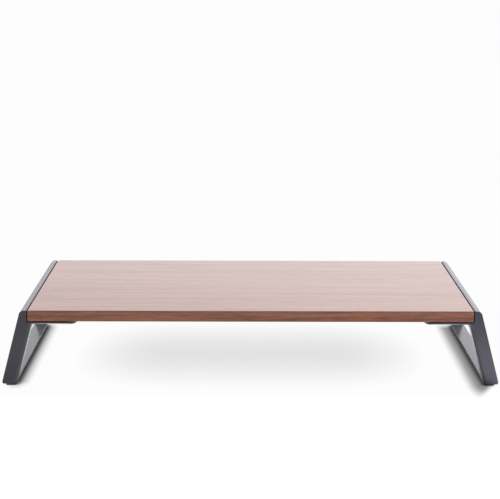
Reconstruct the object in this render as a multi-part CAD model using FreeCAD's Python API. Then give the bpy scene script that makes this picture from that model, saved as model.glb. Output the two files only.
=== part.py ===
import FreeCAD, Part
import math
import os

# Monitor riser stand, in millimetres.
# X runs along the board, Y from front to rear, Z up. The origin is on the desk,
# below the middle of the board.

# Overall size
OVERALL_WIDTH = 561.0      # across the two frames at their undersides, before rounding
DEPTH = 250.0
HEIGHT = 87.0

# Board: a veneered panel with a banded rim
BOARD_LENGTH = 498.0
BOARD_THICKNESS = 12.4
VENEER = 0.6
BAND = 1.5
BAND_ROUNDING = 1.0        # outer top and bottom edges of the rim
REAR_CORNER = 4.5          # rounding of the board's rear corners, seen from above
FRONT_CORNER = 1.0

# Side frames: cast loops that lean outwards towards the desk
LEAN = math.radians(15.2)
POST_WIDTH = 16.8          # across the frame, measured level
POST_DEPTH = 17.0          # front to rear
RAIL_HEIGHT = 5.5          # the bottom rail is a thin flat bar
BEVEL_DEPTH = 2.8          # front bevel along the inner edge: how far back it reaches
POST_BEVEL = 2.8           # its width on the post
FLANGE_BEVEL = 1.5         # its width on the flange
FRONT_ROUNDING = 1.2       # outer front edge
REAR_ROUNDING = 8.0        # outer rear edge
TOP_ROUNDING = 6.0         # outer top edge of the strip beside the board
END_ROUNDING = 1.0         # front and rear ends of that strip
BASE_ROUNDING = 3.0        # outer bottom edge
WINDOW_EDGE = 0.35         # broken edges around the window
SOFT_EDGE = 0.6            # broken edges elsewhere
WINDOW_CORNER = 5.0
ROOT_FILLET = 5.0          # between flange and posts

# Flange under the board
FLANGE_THICKNESS = 2.4
FLANGE_TIP = 195.0         # from the middle plane to the flange's free edge
FLANGE_CORNER = 12.0
FLANGE_STUB = 225.0        # inside end of the piece of flange that is shaped with the posts

# Liner between the board and its seat in the frame
LINER = 1.1
LINER_SETBACK = 0.6        # how far the liner's edges stay back from the visible faces

# Rubber foot strips
FOOT_HEIGHT = 1.7          # free height below the frame
FOOT_SEATING = 1.3         # depth of the pocket that holds it
FOOT_WIDTH = 10.2
FOOT_END_GAP = 1.0
FOOT_ROUNDING = 1.2
FOOT_INNER_CORNER = 3.0    # keeps the strip inside the front bevel
FOOT_WALL = 1.0            # metal between the pocket and the frame's inner face

# Fasteners: M4 button-head screws in threaded inserts
SCREW_ROWS = (-90.0, 0.0, 90.0)
SCREW_LINE = 219.0         # from the middle plane
SCREW_SIZE = 4.0
SCREW_LENGTH = 10.0
SCREW_HEAD = 7.6
SCREW_HEAD_HEIGHT = 2.2
SCREW_TIP_CHAMFER = 0.5
SOCKET_WIDTH = 2.5
SOCKET_DEPTH = 1.3
CLEARANCE_HOLE = 4.5
LINER_HOLE = 5.0
INSERT_SIZE = 7.0
INSERT_WAIST = 6.2
INSERT_LENGTH = 9.0
INSERT_BAND = 3.2          # length of each knurled end
INSERT_POCKET = 9.6        # depth of the hole in the board

# Levels and places that follow from the sizes above
BOARD_BOTTOM = HEIGHT - BOARD_THICKNESS
CORE_BOTTOM = BOARD_BOTTOM + VENEER
CORE_TOP = HEIGHT - VENEER
FLANGE_TOP = BOARD_BOTTOM - LINER
FLANGE_BOTTOM = FLANGE_TOP - FLANGE_THICKNESS
RAIL_TOP = FOOT_HEIGHT + RAIL_HEIGHT
BOARD_END = BOARD_LENGTH / 2
SEAT_WALL = BOARD_END + LINER
FRONT = -DEPTH / 2
REAR = DEPTH / 2
OVERSHOOT = 5.0            # how far cutting shapes run past what they cut
NEAR = 1e-4                # how close a point must be to count as lying on a face


def point(x, y, z):
    return FreeCAD.Vector(x, y, z)


def outer_x(z):
    """Distance from the middle plane to a frame's outer face at height z."""
    return OVERALL_WIDTH / 2 - (z - FOOT_HEIGHT) * math.tan(LEAN)


def inner_x(z):
    return outer_x(z) - POST_WIDTH


def rounded_outline(corners):
    """Closed flat wire from (corner, radius) pairs, each corner rounded by a tangent arc."""
    tangents = []
    for index, (corner, radius) in enumerate(corners):
        before = (corners[index - 1][0] - corner).normalize()
        after = (corners[(index + 1) % len(corners)][0] - corner).normalize()
        half_angle = before.getAngle(after) / 2
        reach = radius / math.tan(half_angle)
        inset = radius / math.sin(half_angle) - radius
        middle = corner + (before + after).normalize() * inset
        tangents.append((corner + before * reach, middle, corner + after * reach, radius))
    edges = []
    for index, (start, middle, end, radius) in enumerate(tangents):
        if radius:
            edges.append(Part.Arc(start, middle, end).toShape())
        next_start = tangents[(index + 1) % len(tangents)][0]
        edges.append(Part.makeLine(end, next_start))
    return Part.Wire(edges)


def extruded(wire, direction):
    return Part.Face(wire).extrude(direction)


def rectangle(x_low, x_high, y_low, y_high, z, radii):
    """Level outline; radii run front-left, front-right, rear-right, rear-left."""
    places = ((x_low, y_low), (x_high, y_low), (x_high, y_high), (x_low, y_high))
    return rounded_outline([(point(x, y, z), r) for (x, y), r in zip(places, radii)])


def mirrored(shape):
    return shape.mirror(point(0, 0, 0), point(1, 0, 0))


def edges_where(shape, test):
    """Edges whose every end and middle point pass the test."""
    chosen = []
    for edge in shape.Edges:
        first, last = edge.ParameterRange
        samples = [edge.valueAt(first + (last - first) * share) for share in (0.0, 0.5, 1.0)]
        if all(test(sample) for sample in samples):
            chosen.append(edge)
    return chosen


def board_outline(inset, z):
    """The board seen from above, drawn in from its rim by inset."""
    front_corner = max(FRONT_CORNER - inset, 0.0)
    rear_corner = REAR_CORNER - inset
    radii = (front_corner, front_corner, rear_corner, rear_corner)
    half = BOARD_END - inset
    return rectangle(-half, half, FRONT + inset, REAR - inset, z, radii)


def insert_holes(bottom, depth):
    holes = [Part.makeCylinder(INSERT_SIZE / 2, depth, point(side * SCREW_LINE, row, bottom))
             for side in (-1, 1) for row in SCREW_ROWS]
    return Part.makeCompound(holes)


def board_rim():
    """The whole edge band, before it is divided into its four strips."""
    block = extruded(board_outline(0.0, BOARD_BOTTOM), point(0, 0, BOARD_THICKNESS))
    levels = (BOARD_BOTTOM, HEIGHT)
    edges = edges_where(block, lambda p: min(abs(p.z - level) for level in levels) < NEAR)
    block = block.makeFillet(BAND_ROUNDING, edges)
    inside = extruded(board_outline(BAND, BOARD_BOTTOM), point(0, 0, BOARD_THICKNESS))
    return block.cut(inside)


def board_core():
    block = extruded(board_outline(BAND, CORE_BOTTOM), point(0, 0, CORE_TOP - CORE_BOTTOM))
    return block.cut(insert_holes(BOARD_BOTTOM, INSERT_POCKET))


def top_veneer():
    return extruded(board_outline(BAND, CORE_TOP), point(0, 0, VENEER))


def bottom_veneer():
    sheet = extruded(board_outline(BAND, BOARD_BOTTOM), point(0, 0, VENEER))
    return sheet.cut(insert_holes(BOARD_BOTTOM, INSERT_POCKET))


def edge_bands():
    """Front and rear strips run the full length; the end strips fit between them."""
    rim = board_rim()
    front_joint = FRONT + BAND
    rear_joint = REAR - REAR_CORNER
    length = BOARD_LENGTH + 2 * OVERSHOOT
    height = BOARD_THICKNESS + 2 * OVERSHOOT
    left = -length / 2
    low = BOARD_BOTTOM - OVERSHOOT
    front_zone = Part.makeBox(length, OVERSHOOT + BAND, height, point(left, FRONT - OVERSHOOT, low))
    rear_zone = Part.makeBox(length, OVERSHOOT + REAR_CORNER, height, point(left, rear_joint, low))
    end_zone = Part.makeBox(length / 2, rear_joint - front_joint, height, point(0, front_joint, low))
    right_band = rim.common(end_zone)
    return {
        "front_edge_band": rim.common(front_zone),
        "rear_edge_band": rim.common(rear_zone),
        "right_edge_band": right_band,
        "left_edge_band": mirrored(right_band),
    }


def flange_outline(inset, z, root):
    """Plate under the right end of the board, from its free edge out to root, seen from above."""
    tip = FLANGE_TIP + inset
    corner = FLANGE_CORNER - inset
    return rectangle(tip, root, FRONT + inset, REAR - inset, z, (corner, 0.0, 0.0, corner))


def front_outline(y, post_inset, flange_inset):
    """Front view of the right frame without its window, at the given distance y."""
    underside = FLANGE_BOTTOM + flange_inset
    root_radius = ROOT_FILLET + (post_inset + flange_inset) / 2
    corners = [
        (point(outer_x(HEIGHT), y, HEIGHT), TOP_ROUNDING),
        (point(outer_x(FOOT_HEIGHT), y, FOOT_HEIGHT), BASE_ROUNDING),
        (point(inner_x(FOOT_HEIGHT) + post_inset, y, FOOT_HEIGHT), SOFT_EDGE),
        (point(inner_x(underside) + post_inset, y, underside), root_radius),
        (point(FLANGE_STUB, y, underside), 0.0),
        (point(FLANGE_STUB, y, FLANGE_TOP), 0.0),
        (point(SEAT_WALL, y, FLANGE_TOP), 0.0),
        (point(SEAT_WALL, y, HEIGHT), SOFT_EDGE),
    ]
    return rounded_outline(corners)


def leaning_mask():
    """Space inside the frame's outer face, with its front and rear edges rounded."""
    outer = outer_x(FOOT_HEIGHT)
    outline = rectangle(0, outer, FRONT, REAR, FOOT_HEIGHT, (0.0, FRONT_ROUNDING, REAR_ROUNDING, 0.0))
    rise = HEIGHT - FOOT_HEIGHT
    return extruded(outline, point(-rise * math.tan(LEAN), 0, rise))


def side_view_mask():
    """Space inside the frame's side view, with the ends of the strip and the rail rounded."""
    corners = [
        (point(0, FRONT, FOOT_HEIGHT), SOFT_EDGE),
        (point(0, REAR, FOOT_HEIGHT), SOFT_EDGE),
        (point(0, REAR, HEIGHT), END_ROUNDING),
        (point(0, FRONT, HEIGHT), END_ROUNDING),
    ]
    return extruded(rounded_outline(corners), point(OVERALL_WIDTH / 2, 0, 0))


def flange_plate():
    """The flange with the bevel along the front of its underside."""
    root = inner_x(FLANGE_TOP)
    plate = extruded(flange_outline(0.0, FLANGE_BOTTOM, root), point(0, 0, FLANGE_THICKNESS))
    bevel_corners = [
        point(0, FRONT, FLANGE_BOTTOM),
        point(0, FRONT + BEVEL_DEPTH, FLANGE_BOTTOM),
        point(0, FRONT, FLANGE_BOTTOM + FLANGE_BEVEL),
    ]
    bevel = extruded(Part.makePolygon(bevel_corners + bevel_corners[:1]), point(root, 0, 0))
    return plate.cut(bevel)


def window():
    """The see-through opening between the posts, run through the frame from side to side."""
    rear_post = REAR - POST_DEPTH
    front_post = FRONT + POST_DEPTH
    start = FLANGE_TIP - OVERSHOOT
    places = ((front_post, RAIL_TOP), (rear_post, RAIL_TOP),
              (rear_post, FLANGE_BOTTOM), (front_post, FLANGE_BOTTOM))
    outline = rounded_outline([(point(start, y, z), WINDOW_CORNER) for y, z in places])
    return extruded(outline, point(OVERALL_WIDTH / 2 + OVERSHOOT - start, 0, 0))


def foot_outline(z):
    inner = inner_x(FOOT_HEIGHT) + FOOT_WALL
    front = FRONT + FOOT_END_GAP
    rear = REAR - FOOT_END_GAP
    radii = (FOOT_INNER_CORNER, FOOT_ROUNDING, FOOT_WIDTH / 2, FOOT_ROUNDING)
    return rectangle(inner, inner + FOOT_WIDTH, front, rear, z, radii)


def foot_strip():
    block = extruded(foot_outline(0.0), point(0, 0, FOOT_HEIGHT + FOOT_SEATING))
    return block.makeFillet(FOOT_ROUNDING, edges_where(block, lambda p: abs(p.z) < NEAR))


def clearance_holes(diameter, bottom, depth):
    places = [point(SCREW_LINE, row, bottom) for row in SCREW_ROWS]
    holes = [Part.makeCylinder(diameter / 2, depth, place) for place in places]
    return Part.makeCompound(holes)


def cast_body():
    """The right frame's metal before its sharp edges are broken and its pocket and holes are cut."""
    bevel_end = FRONT + BEVEL_DEPTH
    front_slice = Part.makeLoft(
        [front_outline(FRONT, POST_BEVEL, FLANGE_BEVEL), front_outline(bevel_end, 0.0, 0.0)], True, True)
    main_slice = extruded(front_outline(bevel_end, 0.0, 0.0), point(0, DEPTH - BEVEL_DEPTH, 0))
    casting = front_slice.fuse(main_slice).common(leaning_mask()).common(side_view_mask())
    return casting.fuse(flange_plate()).cut(window()).removeSplitter()


def is_window_rim(p):
    """On either rim of the window, where its walls meet the frame's faces."""
    post = REAR - POST_DEPTH + NEAR
    inside_opening = abs(p.y) < post and RAIL_TOP - NEAR < p.z < FLANGE_BOTTOM + NEAR
    return inside_opening and min(abs(p.x - outer_x(p.z)), abs(p.x - inner_x(p.z))) < NEAR


def is_rear_rim(p):
    """On the inner edge of the rear face, from the desk up and along the flange."""
    between_levels = FOOT_HEIGHT + SOFT_EDGE - NEAR < p.z < FLANGE_BOTTOM + NEAR
    return between_levels and abs(p.y - REAR) < NEAR and p.x < inner_x(p.z) + NEAR


def is_flange_rim(p):
    """On the underside's free edge, behind the front bevel."""
    on_underside = abs(p.z - FLANGE_BOTTOM) < NEAR and p.y > FRONT + BEVEL_DEPTH - NEAR
    return on_underside and p.x < FLANGE_TIP + FLANGE_CORNER + NEAR


def side_frame():
    """The right side frame as cast, with its seat, flange, window, foot pocket and screw holes."""
    body = cast_body()
    body = body.makeFillet(WINDOW_EDGE, edges_where(body, is_window_rim))
    body = body.makeFillet(SOFT_EDGE, edges_where(body, lambda p: is_rear_rim(p) or is_flange_rim(p)))
    pocket = extruded(foot_outline(FOOT_HEIGHT), point(0, 0, FOOT_SEATING))
    screw_holes = clearance_holes(CLEARANCE_HOLE, FLANGE_BOTTOM, FLANGE_THICKNESS)
    return body.cut([pocket, screw_holes])


def seat_liner():
    """L-section liner: one leg under the board, one between the board's end and the frame."""
    low_leg = extruded(flange_outline(LINER_SETBACK, FLANGE_TOP, SEAT_WALL), point(0, 0, LINER))
    upright_front = FRONT + LINER_SETBACK
    upright_length = DEPTH - LINER_SETBACK - REAR_CORNER
    upright_height = HEIGHT - LINER_SETBACK - FLANGE_TOP
    upright_place = point(BOARD_END, upright_front, FLANGE_TOP)
    upright = Part.makeBox(LINER, upright_length, upright_height, upright_place)
    liner = low_leg.fuse(upright).removeSplitter()
    return liner.cut(clearance_holes(LINER_HOLE, FLANGE_TOP, LINER))


def turned(profile_points):
    """Solid turned about the Z axis from (radius, height) points."""
    corners = [point(radius, 0, height) for radius, height in profile_points]
    wire = Part.makePolygon(corners + corners[:1])
    return Part.Face(wire).revolve(point(0, 0, 0), point(0, 0, 1), 360)


def frame_screw():
    """Button-head screw seen from its head's seating face at height zero, shank upwards."""
    shank_radius = SCREW_SIZE / 2
    tip_radius = shank_radius - SCREW_TIP_CHAMFER
    shank = turned([
        (0, 0),
        (shank_radius, 0),
        (shank_radius, SCREW_LENGTH - SCREW_TIP_CHAMFER),
        (tip_radius, SCREW_LENGTH),
        (0, SCREW_LENGTH),
    ])
    head_radius = SCREW_HEAD / 2
    dome_radius = (head_radius ** 2 + SCREW_HEAD_HEIGHT ** 2) / (2 * SCREW_HEAD_HEIGHT)
    dome = Part.makeSphere(dome_radius, point(0, 0, dome_radius - SCREW_HEAD_HEIGHT))
    head_end = point(0, 0, -SCREW_HEAD_HEIGHT)
    head = dome.common(Part.makeCylinder(head_radius, SCREW_HEAD_HEIGHT, head_end))
    corner_radius = SOCKET_WIDTH / math.sqrt(3)
    angles = [math.radians(60 * step) for step in range(6)]
    around = [point(math.cos(angle), math.sin(angle), 0) for angle in angles]
    socket_corners = [head_end + direction * corner_radius for direction in around]
    socket = extruded(Part.makePolygon(socket_corners + socket_corners[:1]), point(0, 0, SOCKET_DEPTH))
    return head.fuse(shank).removeSplitter().cut(socket)


def threaded_insert():
    """Brass sleeve with two knurled ends and a waist, standing on height zero."""
    outer = INSERT_SIZE / 2
    waist = INSERT_WAIST / 2
    bore = SCREW_SIZE / 2
    return turned([
        (bore, 0),
        (outer, 0),
        (outer, INSERT_BAND),
        (waist, INSERT_BAND),
        (waist, INSERT_LENGTH - INSERT_BAND),
        (outer, INSERT_LENGTH - INSERT_BAND),
        (outer, INSERT_LENGTH),
        (bore, INSERT_LENGTH),
    ])


def row_of(shape, z):
    """One copy at each screw place of the right frame, kept as separate solids."""
    copies = [shape.translated(point(SCREW_LINE, row, z)) for row in SCREW_ROWS]
    return Part.makeCompound(copies)


def all_nodes():
    nodes = {
        "board_core": board_core(),
        "board_top_veneer": top_veneer(),
        "board_bottom_veneer": bottom_veneer(),
    }
    nodes.update(edge_bands())
    right_side = {
        "side_frame": side_frame(),
        "seat_liner": seat_liner(),
        "foot_strip": foot_strip(),
        "frame_screws": row_of(frame_screw(), FLANGE_BOTTOM),
        "threaded_inserts": row_of(threaded_insert(), BOARD_BOTTOM),
    }
    for name, shape in right_side.items():
        nodes["right_" + name] = shape
        nodes["left_" + name] = mirrored(shape)
    return nodes


os.makedirs("parts", exist_ok=True)
for name, shape in all_nodes().items():
    shape.exportStep("parts/" + name + ".step")
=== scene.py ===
import math
import bpy
from mathutils import Matrix

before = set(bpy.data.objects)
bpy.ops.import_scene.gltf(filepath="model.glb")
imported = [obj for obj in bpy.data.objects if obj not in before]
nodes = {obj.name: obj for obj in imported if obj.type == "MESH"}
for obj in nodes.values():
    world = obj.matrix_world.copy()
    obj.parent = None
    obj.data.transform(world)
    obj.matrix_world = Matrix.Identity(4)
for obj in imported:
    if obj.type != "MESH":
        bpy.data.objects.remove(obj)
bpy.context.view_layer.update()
MM = 0.001

# Camera: a long lens, a little to the left of the middle, looking slightly down
CAMERA_PLACE = (-0.01086, -1.5108, 0.46611)
CAMERA_PITCH = math.radians(12.558)
CAMERA_YAW = math.radians(-0.397)
CAMERA_ROLL = math.radians(0.228)
FOCAL_LENGTH = 92.86
SENSOR_WIDTH = 36.0
NEAREST = 0.05
FARTHEST = 50.0

# Room light: soft from all round, brightest behind and to the right.
# REAR, HEIGHT and SIDE values are parts of a direction of length 1.
ROOM_GLOW = 1.0
ROOM_COLOUR = (0.985, 0.985, 1.015, 1.0)
BACK_GLOW = 0.55
RIGHT_GLOW = 0.98
GLOW_REAR = (0.0, 0.9)          # where the glow behind starts, and where it is full
GLOW_HEIGHT = (0.17, 0.42)      # up to where it is full, and where it ends
# A dimmer band just above the horizon keeps the rounded rims of the frames crisp
BAND_REAR = (0.5, 0.9)
BAND_HEIGHT = (0.05, 0.19)
BAND_SIDE = 0.2
BAND_DIM = (0.75, 0.55)         # at the left, at the right

# Floor: a white, glowing desk top with painted soft shadows and painted pools of light, placed by the
# right foot strip and mirrored
FLOOR_HALF = 20.0
FLOOR_GLOW = 1.05
FLOOR_WHITE = 0.98
SIDE_BLEND = 0.2                # from the left frame's values to the right frame's
END_BLEND = 0.05                # from the front ends' values to the rear ends'
RAIL_WALL = 1.0 * MM            # from the rail's inner face to the foot strip
RAIL_LIP = 0.6 * MM             # from the foot strip to the rail's outer side

# Shadow of each rail: (left frame, right frame)
SHADOW_REACH = (10.3 * MM, 16.4 * MM)
SHADOW_STEEPNESS = (2.0, 3.2)
SHADOW_DEPTH = (0.80, 0.76)
# beyond the rails' ends: (most ends, the front end of the right frame)
SHADOW_LENGTH = (22.0 * MM, 60.0 * MM)
SHADOW_KEPT = (0.35, 1.0)
# where it weakens, from the rail's end and from its outer side: (starts, ends)
SHADOW_DROP = (-16.0 * MM, 4.0 * MM)
SHADOW_RIM = (-9.5 * MM, 2.5 * MM)
SHADOW_SLANT = 0.47             # in front of the right frame it runs inwards as it goes forwards

# Shadow of the board
BOARD_SHADE = 0.27
BOARD_SHADE_SIDE = (0.10, 0.27)
BOARD_SHADE_DEEP = (0.0, 0.20)

# Painted shade in the crevice between each rail and the floor
CREVICE_SIZE = 6.0 * MM
CREVICE_OPEN = 0.3              # openness up to which it is darkest
CREVICE_SAMPLES = 8
CREVICE_BLEND = 1.0 * MM
CREVICE_BESIDE = 0.05           # brightness of its darkest places
CREVICE_AT_END = 0.8
CREVICE_OUTSIDE = 0.9

# Two brighter pools on the floor, in front of the right foot and in front of the whole riser
FOOT_POOL = 1.85
FOOT_POOL_TINT = (0.94, 0.94, 1.10)
FOOT_POOL_LEFT = (0.19, 0.27)
FOOT_POOL_RIGHT = (0.46, 0.36)
FOOT_POOL_FRONT = (-0.44, -0.16)
FOOT_POOL_REAR = (-0.122, -0.135)
FOOT_POOL_BEYOND = (-0.165, -0.190)         # in front of the foot's shadow
FOOT_POOL_BESIDE = (0.5 * MM, 14.5 * MM)    # beside it, from the rail's outer side
FRONT_POOL = 0.35
FRONT_POOL_FRONT = (-0.50, -0.28)
FRONT_POOL_REAR = (-0.15, -0.26)

# Walnut: noise cells per metre, along the grain and across it
SWAY_CELLS = (3.0, 9.0)
BROAD_CELLS = (2.4, 38.0)
RING_CELLS = (4.0, 230.0)
FIBRE_CELLS = (14.0, 1500.0)
FLECK_CELLS = (55.0, 800.0)
PORE_CELLS = (70.0, 2600.0)
SWAY = 22.0 * MM
BROAD_SHARE = 0.35
RING_SHARE = 0.65
FIBRE_SHARE = 0.25
FLECK_SHARE = 0.42
TONE_RANGE = (0.30, 0.70)
PORE_RANGE = (0.62, 0.72)
PORE_DARKNESS = 0.45
FIBRE_HEIGHT = 0.3
FIBRE_ROUGHNESS = 0.12
# darker wood, lighter wood, pores
FACE_COLOURS = ((0.215, 0.050, 0.018), (0.400, 0.145, 0.072), (0.090, 0.024, 0.010))
EDGE_COLOURS = ((0.095, 0.022, 0.008), (0.258, 0.090, 0.040), (0.045, 0.012, 0.005))
# side bands: lighter, partly the top veneer's tone, partly a painted highlight on their rounded top edges
SIDE_COLOURS = ((0.21, 0.070, 0.036), (0.35, 0.130, 0.072), (0.10, 0.034, 0.018))
ALONG_X = 0
ALONG_Y = 1


# ---------------------------------------------------------------- node helpers

class Tree:
    """A short way to write node trees."""

    def __init__(self, owner):
        owner.use_nodes = True
        self.nodes = owner.node_tree.nodes
        self.links = owner.node_tree.links
        self.nodes.clear()

    def add(self, kind, inputs=None, **settings):
        made = self.nodes.new(kind)
        for name, value in settings.items():
            setattr(made, name, value)
        for name, value in (inputs or {}).items():
            self.put(made.inputs[name], value)
        return made

    def put(self, socket, value):
        if isinstance(value, bpy.types.NodeSocket):
            self.links.new(value, socket)
        else:
            socket.default_value = value

    def two(self, kind, operation, a, b):
        made = self.add(kind, operation=operation)
        self.put(made.inputs[0], a)
        self.put(made.inputs[1], b)
        return made

    def math(self, operation, a, b=0.0):
        return self.two("ShaderNodeMath", operation, a, b).outputs[0]

    def vector(self, operation, a, b):
        return self.two("ShaderNodeVectorMath", operation, a, b).outputs[0]

    def product(self, first, *others):
        for other in others:
            first = self.math("MULTIPLY", first, other)
        return first

    def centred(self, value, share):
        """Noise from 0 to 1, made to swing by half the share to each side of zero."""
        return self.product(self.math("SUBTRACT", value, 0.5), share)

    def noise(self, vector, cells, detail=2.0, roughness=0.5):
        """Noise from 0 to 1, with the given number of cells per metre on each axis."""
        made = self.add("ShaderNodeTexNoise", {
            "Vector": self.vector("MULTIPLY", vector, cells),
            "Scale": 1.0,
            "Detail": detail,
            "Roughness": roughness,
        })
        return made.outputs[0]

    def even_noise(self, vector, cells, detail=2.0, roughness=0.5):
        return self.noise(vector, (cells, cells, cells), detail, roughness)

    def ramp(self, value, low, high, out_low=0.0, out_high=1.0, smooth=True):
        kind = "SMOOTHSTEP" if smooth else "LINEAR"
        made = self.add("ShaderNodeMapRange", interpolation_type=kind)
        for socket, number in zip(made.inputs, (value, low, high, out_low, out_high)):
            self.put(socket, number)
        return made.outputs[0]

    def falling(self, value, low, high):
        return self.ramp(value, low, high, 1.0, 0.0)

    def between(self, share, pair):
        """The first of the pair where share is 0, the second where it is 1."""
        return self.ramp(share, 0.0, 1.0, *pair, smooth=False)

    def mix(self, factor, a, b):
        made = self.add("ShaderNodeMix", data_type="RGBA")
        self.put(made.inputs[0], factor)
        self.put(made.inputs[6], (*a, 1.0) if isinstance(a, tuple) else a)
        self.put(made.inputs[7], (*b, 1.0) if isinstance(b, tuple) else b)
        return made.outputs[2]

    def bump(self, height, distance, strength):
        made = self.add("ShaderNodeBump", {"Height": height, "Distance": distance, "Strength": strength})
        return made.outputs[0]

    def place(self):
        return self.add("ShaderNodeTexCoord").outputs["Object"]

    def split(self, vector):
        return self.add("ShaderNodeSeparateXYZ", {0: vector}).outputs

    def joined(self, parts):
        return self.add("ShaderNodeCombineXYZ", parts).outputs[0]

    def finish(self, shader, kind="ShaderNodeOutputMaterial"):
        output = self.add(kind)
        self.links.new(shader.outputs[0], output.inputs[0])

    def surface(self, settings):
        self.finish(self.add("ShaderNodeBsdfPrincipled", settings))


def steps_from(place, steps):
    return [place + step for step in steps]


def new_material(name):
    made = bpy.data.materials.new(name)
    return made, Tree(made)


# ---------------------------------------------------------------- materials

def walnut(name, grain, offset, colours, roughness, gloss):
    """Lacquered walnut. grain is the axis that the fibres follow."""
    material, tree = new_material(name)
    split = tree.split(tree.place())
    turned = tree.joined({0: split[grain], 1: split[1 - grain], 2: split[2]})
    base = tree.vector("ADD", turned, offset)

    def grain_noise(place, cells, detail, roughness=0.5):
        lengthwise, crosswise = cells
        return tree.noise(place, (lengthwise, crosswise, crosswise), detail, roughness)

    # the grain lines sway slowly from side to side
    sway = tree.centred(grain_noise(base, SWAY_CELLS, 1.0), SWAY)
    place = tree.vector("ADD", base, tree.joined({1: sway, 2: sway}))
    broad = grain_noise(place, BROAD_CELLS, 2.0)
    rings = grain_noise(place, RING_CELLS, 3.0, 0.6)
    fibres = grain_noise(place, FIBRE_CELLS, 2.0, 0.6)
    flecks = grain_noise(place, FLECK_CELLS, 2.0, 0.6)
    pores = tree.ramp(grain_noise(place, PORE_CELLS, 1.0), *PORE_RANGE)
    tone = tree.math("ADD", tree.product(broad, BROAD_SHARE), tree.product(rings, RING_SHARE))
    tone = tree.math("ADD", tone, tree.centred(fibres, FIBRE_SHARE))
    tone = tree.math("ADD", tone, tree.centred(flecks, FLECK_SHARE))
    colour = tree.mix(tree.ramp(tone, *TONE_RANGE), colours[0], colours[1])
    colour = tree.mix(tree.product(pores, PORE_DARKNESS), colour, colours[2])
    height = tree.math("SUBTRACT", tree.product(fibres, FIBRE_HEIGHT), pores)
    tree.surface({
        "Base Color": colour,
        "Roughness": tree.math("ADD", roughness, tree.centred(fibres, FIBRE_ROUGHNESS)),
        "IOR": 1.5,
        "Specular IOR Level": gloss,
        "Coat Weight": 1.0,
        "Coat Roughness": 0.12,
        "Coat IOR": 1.38,
        "Normal": tree.bump(height, 0.03 * MM, 0.5),
    })
    return material


def worn_edge(tree, patches):
    """Up to 1 on sharp edges, more on some patches than on others, and 0 on flat faces."""
    soft = tree.add("ShaderNodeBevel", {"Radius": 0.7 * MM}, samples=6).outputs[0]
    sharp = tree.add("ShaderNodeNewGeometry").outputs["Normal"]
    agreement = tree.two("ShaderNodeVectorMath", "DOT_PRODUCT", soft, sharp).outputs["Value"]
    return tree.product(tree.ramp(agreement, 0.99, 0.85), tree.ramp(patches, 0.35, 0.65, 0.4, 1.0))


def coating(name):
    """Charcoal coating of the cast frames: a rough body under a smoother skin, a little worn at edges."""
    material, tree = new_material(name)
    place = tree.place()
    cloud = tree.even_noise(place, 24.0, 3.0)
    peel = tree.even_noise(place, 900.0)
    grit = tree.even_noise(place, 4200.0, 1.0)
    colour = tree.mix(cloud, (0.004, 0.004, 0.012), (0.008, 0.008, 0.018))
    colour = tree.mix(tree.ramp(grit, 0.6, 0.85, 0.0, 0.3), colour, (0.05, 0.05, 0.06))
    colour = tree.mix(tree.product(worn_edge(tree, cloud), 0.4), colour, (0.040, 0.040, 0.048))
    tree.surface({
        "Base Color": colour,
        "Roughness": tree.math("ADD", 0.46, tree.product(cloud, 0.1)),
        "IOR": 1.5,
        "Specular IOR Level": 0.15,
        "Sheen Weight": 0.32,
        "Sheen Roughness": 0.5,
        "Sheen Tint": (0.93, 0.92, 1.0, 1.0),
        "Coat Weight": 1.0,
        "Coat Roughness": 0.20,
        "Coat IOR": 1.42,
        "Normal": tree.bump(grit, 0.012 * MM, 0.2),
        "Coat Normal": tree.bump(peel, 0.012 * MM, 0.08),
    })
    return material


def rubber(name, low, high, gloss):
    """Matte rubber, between two near blacks."""
    material, tree = new_material(name)
    place = tree.place()
    grain = tree.even_noise(place, 1800.0)
    cloud = tree.even_noise(place, 60.0)
    tree.surface({
        "Base Color": tree.mix(cloud, low, high),
        "Roughness": tree.math("ADD", 0.7, tree.product(cloud, 0.2)),
        "Specular IOR Level": gloss,
        "Normal": tree.bump(grain, 0.04 * MM, 0.6),
    })
    return material


def metal(name, low, high, roughness, metallic):
    """Turned metal: fine rings one above the other."""
    material, tree = new_material(name)
    place = tree.place()
    cloud = tree.even_noise(place, 300.0, 3.0)
    turning = tree.noise(place, (90.0, 90.0, 5200.0))
    tree.surface({
        "Base Color": tree.mix(cloud, low, high),
        "Metallic": metallic,
        "Roughness": tree.math("ADD", roughness, tree.product(cloud, 0.15)),
        "Normal": tree.bump(turning, 0.02 * MM, 0.5),
    })
    return material


def fibreboard(name):
    """Raw board, seen only where nothing covers the core."""
    material, tree = new_material(name)
    chips = tree.even_noise(tree.place(), 900.0, 4.0, 0.7)
    tree.surface({
        "Base Color": tree.mix(chips, (0.23, 0.14, 0.08), (0.45, 0.32, 0.20)),
        "Roughness": 0.85,
        "Normal": tree.bump(chips, 0.15 * MM, 0.7),
    })
    return material


materials = {
    "board_top_veneer": walnut("walnut_top", ALONG_X, (0.0, 0.0, 0.0), FACE_COLOURS, 0.34, 0.22),
    "board_bottom_veneer": walnut("walnut_bottom", ALONG_X, (3.1, 1.7, 0.4), FACE_COLOURS, 0.42, 0.22),
    "front_edge_band": walnut("walnut_front", ALONG_X, (1.3, 0.8, 2.2), EDGE_COLOURS, 0.34, 0.2),
    "rear_edge_band": walnut("walnut_rear", ALONG_X, (5.3, 0.3, 1.2), EDGE_COLOURS, 0.34, 0.2),
    "left_edge_band": walnut("walnut_left", ALONG_Y, (2.3, 4.3, 0.2), SIDE_COLOURS, 0.34, 0.4),
    "right_edge_band": walnut("walnut_right", ALONG_Y, (7.3, 2.3, 3.2), SIDE_COLOURS, 0.34, 0.4),
    "board_core": fibreboard("fibreboard"),
}
frame_coating = coating("charcoal_coating")
liner_rubber = rubber("liner_rubber", (0.004, 0.0035, 0.0035), (0.008, 0.007, 0.007), 0.12)
foot_rubber = rubber("foot_rubber", (0.004, 0.004, 0.005), (0.008, 0.008, 0.009), 0.06)
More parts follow.
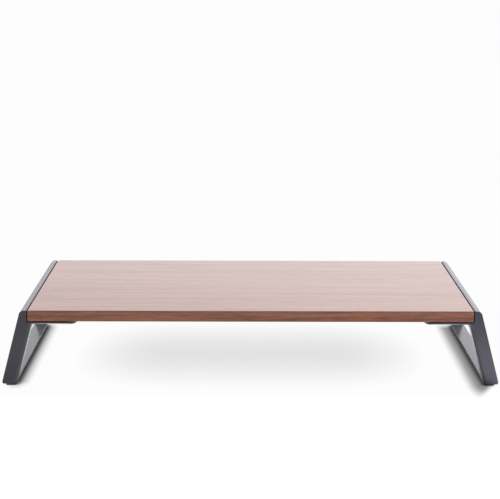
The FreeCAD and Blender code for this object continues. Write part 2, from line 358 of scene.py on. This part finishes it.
screw_steel = metal("black_steel", (0.03, 0.03, 0.034), (0.07, 0.07, 0.075), 0.3, 0.8)
insert_brass = metal("brass", (0.55, 0.38, 0.14), (0.72, 0.52, 0.22), 0.25, 1.0)
for side in ("left_", "right_"):
    materials[side + "side_frame"] = frame_coating
    materials[side + "seat_liner"] = liner_rubber
    materials[side + "foot_strip"] = foot_rubber
    materials[side + "frame_screws"] = screw_steel
    materials[side + "threaded_inserts"] = insert_brass

for name, material in materials.items():
    nodes[name].data.materials.clear()
    nodes[name].data.materials.append(material)


# ---------------------------------------------------------------- stage

class Floor:
    """The floor's material. x and y are places on it; aside and along leave out their signs."""

    def __init__(self, tree):
        foot = nodes["right_foot_strip"]
        corners = [foot.matrix_world @ vertex.co for vertex in foot.data.vertices]
        self.rail_inner = min(corner.x for corner in corners) - RAIL_WALL
        self.rail_outer = max(corner.x for corner in corners) + RAIL_LIP
        self.rail_end = -min(corner.y for corner in corners)
        self.tree = tree
        self.x, self.y = tree.split(tree.place())[:2]
        self.aside = tree.math("ABSOLUTE", self.x)
        self.along = tree.math("ABSOLUTE", self.y)
        self.to_right = tree.ramp(self.x, -SIDE_BLEND, SIDE_BLEND)
        self.right_front = tree.product(self.to_right, tree.falling(self.y, -END_BLEND, END_BLEND))
        self.past = tree.math("MAXIMUM", tree.math("SUBTRACT", self.along, self.rail_end), 0.0)
        lean = tree.product(self.past, self.right_front, SHADOW_SLANT)
        self.slanted = tree.math("ADD", self.aside, lean)

    def rail_shadow(self):
        """How dark each rail's shadow is: widest on its inner side, and thrown past the right foot."""
        tree = self.tree
        inwards = tree.math("SUBTRACT", self.rail_inner, self.aside)
        inwards = tree.math("MAXIMUM", inwards, 0.0)
        relative = tree.math("DIVIDE", inwards, tree.between(self.to_right, SHADOW_REACH))
        power = tree.math("POWER", relative, tree.between(self.to_right, SHADOW_STEEPNESS))
        spread = tree.math("EXPONENT", tree.product(power, -1.0))
        depth = tree.between(self.to_right, SHADOW_DEPTH)
        rim = tree.falling(self.slanted, *steps_from(self.rail_outer, SHADOW_RIM))
        kept = tree.between(self.right_front, SHADOW_KEPT)
        drop = tree.ramp(self.along, *steps_from(self.rail_end, SHADOW_DROP), 1.0, kept)
        end = tree.falling(self.past, 0.0, tree.between(self.right_front, SHADOW_LENGTH))
        return tree.product(spread, depth, rim, drop, end)

    def board_shadow(self):
        """How dark the board's shadow is: broad and faint, below its middle."""
        tree = self.tree
        sideways = tree.falling(self.aside, *BOARD_SHADE_SIDE)
        deep = tree.falling(self.along, *BOARD_SHADE_DEEP)
        return tree.product(sideways, deep, BOARD_SHADE)

    def crevice_shade(self):
        """Painted shade, darkest where the rails meet the floor, fainter outside and at the ends."""
        tree = self.tree
        end = self.rail_end
        outer = self.rail_outer
        near = tree.add("ShaderNodeAmbientOcclusion", {"Distance": CREVICE_SIZE}, samples=CREVICE_SAMPLES)
        darkest = tree.ramp(
            self.along, end - 2 * CREVICE_BLEND, end + CREVICE_BLEND, CREVICE_BESIDE, CREVICE_AT_END)
        darkest = tree.ramp(
            self.aside, outer - CREVICE_BLEND, outer + CREVICE_BLEND, darkest, CREVICE_OUTSIDE)
        return tree.ramp(near.outputs["AO"], CREVICE_OPEN, 1.0, darkest, 1.0, smooth=False)

    def foot_pool(self):
        """Light in front of the right foot, clear of its shadow."""
        tree = self.tree
        beside = tree.ramp(self.slanted, *steps_from(self.rail_outer, FOOT_POOL_BESIDE))
        beyond = tree.ramp(self.y, *FOOT_POOL_BEYOND)
        return tree.product(
            tree.ramp(self.x, *FOOT_POOL_LEFT), tree.ramp(self.x, *FOOT_POOL_RIGHT),
            tree.ramp(self.y, *FOOT_POOL_FRONT), tree.ramp(self.y, *FOOT_POOL_REAR),
            tree.math("MAXIMUM", beside, beyond))

    def front_pool(self):
        """Light in front of the riser."""
        tree = self.tree
        return tree.product(tree.ramp(self.y, *FRONT_POOL_FRONT), tree.ramp(self.y, *FRONT_POOL_REAR))

    def shader(self):
        tree = self.tree
        beside_rails = tree.math("SUBTRACT", 1.0, self.rail_shadow())
        below_board = tree.math("SUBTRACT", 1.0, self.board_shadow())
        shade = tree.product(beside_rails, below_board, self.crevice_shade(), FLOOR_GLOW)
        shade = tree.math("MINIMUM", shade, FLOOR_WHITE)
        foot_pool = self.foot_pool()
        front_pool = self.front_pool()
        pool = tree.math("ADD", tree.product(foot_pool, FOOT_POOL), tree.product(front_pool, FRONT_POOL))
        glow = tree.product(shade, tree.math("ADD", pool, 1.0))
        colour = tree.mix(foot_pool, (1.0, 1.0, 1.0), FOOT_POOL_TINT)
        return tree.add("ShaderNodeEmission", {"Color": colour, "Strength": glow})


def make_floor():
    """A white, glowing desk top with painted shadows and painted pools of light, clear when it is looked
    at from below.
    """
    half = FLOOR_HALF
    mesh = bpy.data.meshes.new("floor")
    mesh.from_pydata(
        [(-half, -half, 0), (half, -half, 0), (half, half, 0), (-half, half, 0)], [], [(0, 1, 2, 3)])
    floor = bpy.data.objects.new("floor", mesh)
    bpy.context.scene.collection.objects.link(floor)
    material, tree = new_material("floor_white")
    either = tree.add("ShaderNodeMixShader", {
        0: tree.add("ShaderNodeNewGeometry").outputs["Backfacing"],
        1: Floor(tree).shader().outputs[0],
        2: tree.add("ShaderNodeBsdfTransparent").outputs[0],
    })
    tree.finish(either)
    mesh.materials.append(material)


def make_world():
    """A pale room, with a glow behind it and a dimmer band just above the horizon."""
    world = bpy.data.worlds.new("studio")
    bpy.context.scene.world = world
    tree = Tree(world)
    sideways, rearwards, upwards = tree.split(tree.add("ShaderNodeTexCoord").outputs["Generated"])
    behind = tree.product(tree.ramp(rearwards, *GLOW_REAR), tree.falling(upwards, *GLOW_HEIGHT))
    lift = tree.math("ADD", BACK_GLOW, tree.product(sideways, RIGHT_GLOW))
    strength = tree.math("ADD", ROOM_GLOW, tree.product(behind, lift))
    band = tree.product(tree.ramp(rearwards, *BAND_REAR), tree.falling(upwards, *BAND_HEIGHT))
    dim = tree.product(band, tree.ramp(sideways, -BAND_SIDE, BAND_SIDE, *BAND_DIM))
    strength = tree.product(strength, tree.math("SUBTRACT", 1.0, dim))
    background = tree.add("ShaderNodeBackground", {"Color": ROOM_COLOUR, "Strength": strength})
    tree.finish(background, "ShaderNodeOutputWorld")


def make_camera():
    data = bpy.data.cameras.new("camera")
    data.lens = FOCAL_LENGTH
    data.sensor_width = SENSOR_WIDTH
    data.sensor_fit = "HORIZONTAL"
    data.clip_start = NEAREST
    data.clip_end = FARTHEST
    camera = bpy.data.objects.new("camera", data)
    turn = (Matrix.Rotation(CAMERA_YAW, 4, "Z")
            @ Matrix.Rotation(math.pi / 2 - CAMERA_PITCH, 4, "X")
            @ Matrix.Rotation(CAMERA_ROLL, 4, "Z"))
    camera.matrix_world = Matrix.Translation(CAMERA_PLACE) @ turn
    bpy.context.scene.collection.objects.link(camera)
    bpy.context.scene.camera = camera


make_floor()
make_world()
make_camera()
bpy.context.scene.view_settings.view_transform = "Standard"
